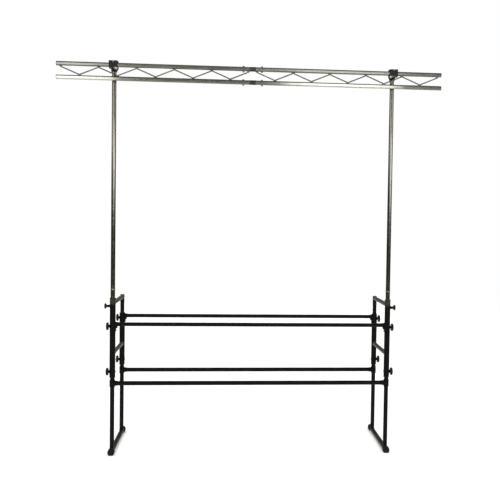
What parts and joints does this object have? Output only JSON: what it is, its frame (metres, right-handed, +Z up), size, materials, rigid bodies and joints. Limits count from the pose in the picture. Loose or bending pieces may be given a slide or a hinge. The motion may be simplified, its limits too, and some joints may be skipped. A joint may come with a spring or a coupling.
{
  "type": "guitar rack",
  "caption": "Free-standing two-tier tubular equipment rack with telescopic side frames, clamping knobs and an overhead ladder truss on two poles.",
  "frame": {"origin": "on the floor, under the middle of the bounding box", "axes": "+X to the right along the cross tubes, +Y to the rear, +Z up"},
  "size_m": [2.5, 0.628, 2.553],
  "materials": {
    "frame_black": "satin powder coat",
    "rubber_black": "matte",
    "plastic_black": "fine texture",
    "bright_steel": "zinc plated",
    "plated_tube": "bright plated",
    "clamp_black": "semi gloss"
  },
  "bodies": {
    "base": {"foot_cap_front_left": "rubber_black", "foot_cap_front_right": "rubber_black", "foot_cap_rear_left": "rubber_black", "foot_cap_rear_right": "rubber_black", "foot_tube_left": "frame_black", "foot_tube_right": "frame_black", "lower_bracket_bolts": "bright_steel", "lower_brackets": "frame_black", "lower_cross_front": "frame_black", "lower_cross_rear": "frame_black", "lower_leg_front_left": "frame_black", "lower_leg_front_right": "frame_black", "lower_leg_rear_left": "frame_black", "lower_leg_rear_right": "frame_black"},
    "upper_frame": {"bracket_screws": "bright_steel", "depth_bars_mid": "frame_black", "depth_bars_top": "frame_black", "rear_stubs": "frame_black", "sleeve_bushes": "plastic_black", "sleeve_front_left": "frame_black", "sleeve_front_right": "frame_black", "sleeve_rear_left": "frame_black", "sleeve_rear_right": "frame_black", "stub_plugs": "plastic_black", "top_collars": "plastic_black", "upper_brackets": "frame_black", "upper_cross_front": "frame_black", "upper_cross_rear": "frame_black", "weld_nuts": "frame_black"},
    "gantry": {"chord_lower_left": "plated_tube", "chord_lower_right": "plated_tube", "chord_spigots": "bright_steel", "chord_upper_left": "plated_tube", "chord_upper_right": "plated_tube", "clamp_bolts": "bright_steel", "clamp_fronts": "clamp_black", "joint_bolts": "bright_steel", "joint_collars": "plated_tube", "pole_joints": "plated_tube", "pole_upper_left": "plated_tube", "pole_upper_right": "plated_tube", "poles_lower": "plated_tube", "truss_clamp_left": "clamp_black", "truss_clamp_right": "clamp_black", "truss_end_caps": "plastic_black", "zigzag_left": "plated_tube", "zigzag_right": "plated_tube"},
    "knob_lower_front_left": {"knob_lower_front_left": "plastic_black"},
    "knob_lower_front_right": {"knob_lower_front_right": "plastic_black"},
    "knob_lower_rear_left": {"knob_lower_rear_left": "plastic_black"},
    "knob_lower_rear_right": {"knob_lower_rear_right": "plastic_black"},
    "knob_pole_left": {"knob_pole_left": "plastic_black"},
    "knob_pole_right": {"knob_pole_right": "plastic_black"},
    "knob_upper_front_left": {"knob_upper_front_left": "plastic_black"},
    "knob_upper_front_right": {"knob_upper_front_right": "plastic_black"},
    "knob_upper_rear_left": {"knob_upper_rear_left": "plastic_black"},
    "knob_upper_rear_right": {"knob_upper_rear_right": "plastic_black"},
    "wing_screw_left": {"wing_screw_left": "bright_steel"},
    "wing_screw_right": {"wing_screw_right": "bright_steel"}
  },
  "joints": [
    {"name": "upper_frame_lift", "type": "slide", "parent": "base", "child": "upper_frame", "axis": [0, 0, 1], "range_m": [0, 0.15]},
    {"name": "gantry_lift", "type": "slide", "parent": "upper_frame", "child": "gantry", "axis": [0, 0, 1], "range_m": [-0.05, 0.1]},
    {"name": "knob_lower_front_left_turn", "type": "hinge", "parent": "upper_frame", "child": "knob_lower_front_left", "pos_m": [-0.927, -0.24, 0.541], "axis": [-1, 0, 0], "continuous": true},
    {"name": "knob_lower_front_right_turn", "type": "hinge", "parent": "upper_frame", "child": "knob_lower_front_right", "pos_m": [0.963, -0.24, 0.541], "axis": [1, 0, 0], "continuous": true},
    {"name": "knob_lower_rear_left_turn", "type": "hinge", "parent": "upper_frame", "child": "knob_lower_rear_left", "pos_m": [-0.927, 0.235, 0.541], "axis": [-1, 0, 0], "continuous": true},
    {"name": "knob_lower_rear_right_turn", "type": "hinge", "parent": "upper_frame", "child": "knob_lower_rear_right", "pos_m": [0.963, 0.235, 0.541], "axis": [1, 0, 0], "continuous": true},
    {"name": "knob_pole_left_turn", "type": "hinge", "parent": "upper_frame", "child": "knob_pole_left", "pos_m": [-0.927, -0.24, 0.972], "axis": [-1, 0, 0], "continuous": true},
    {"name": "knob_pole_right_turn", "type": "hinge", "parent": "upper_frame", "child": "knob_pole_right", "pos_m": [0.963, -0.24, 0.972], "axis": [1, 0, 0], "continuous": true},
    {"name": "knob_upper_front_left_turn", "type": "hinge", "parent": "upper_frame", "child": "knob_upper_front_left", "pos_m": [-0.927, -0.24, 0.839], "axis": [-1, 0, 0], "continuous": true},
    {"name": "knob_upper_front_right_turn", "type": "hinge", "parent": "upper_frame", "child": "knob_upper_front_right", "pos_m": [0.963, -0.24, 0.839], "axis": [1, 0, 0], "continuous": true},
    {"name": "knob_upper_rear_left_turn", "type": "hinge", "parent": "upper_frame", "child": "knob_upper_rear_left", "pos_m": [-0.927, 0.235, 0.839], "axis": [-1, 0, 0], "continuous": true},
    {"name": "knob_upper_rear_right_turn", "type": "hinge", "parent": "upper_frame", "child": "knob_upper_rear_right", "pos_m": [0.963, 0.235, 0.839], "axis": [1, 0, 0], "continuous": true},
    {"name": "wing_screw_left_turn", "type": "hinge", "parent": "gantry", "child": "wing_screw_left", "pos_m": [-0.873, -0.303, 2.503], "axis": [0, -1, 0], "continuous": true},
    {"name": "wing_screw_right_turn", "type": "hinge", "parent": "gantry", "child": "wing_screw_right", "pos_m": [0.909, -0.303, 2.503], "axis": [0, -1, 0], "continuous": true}
  ]
}
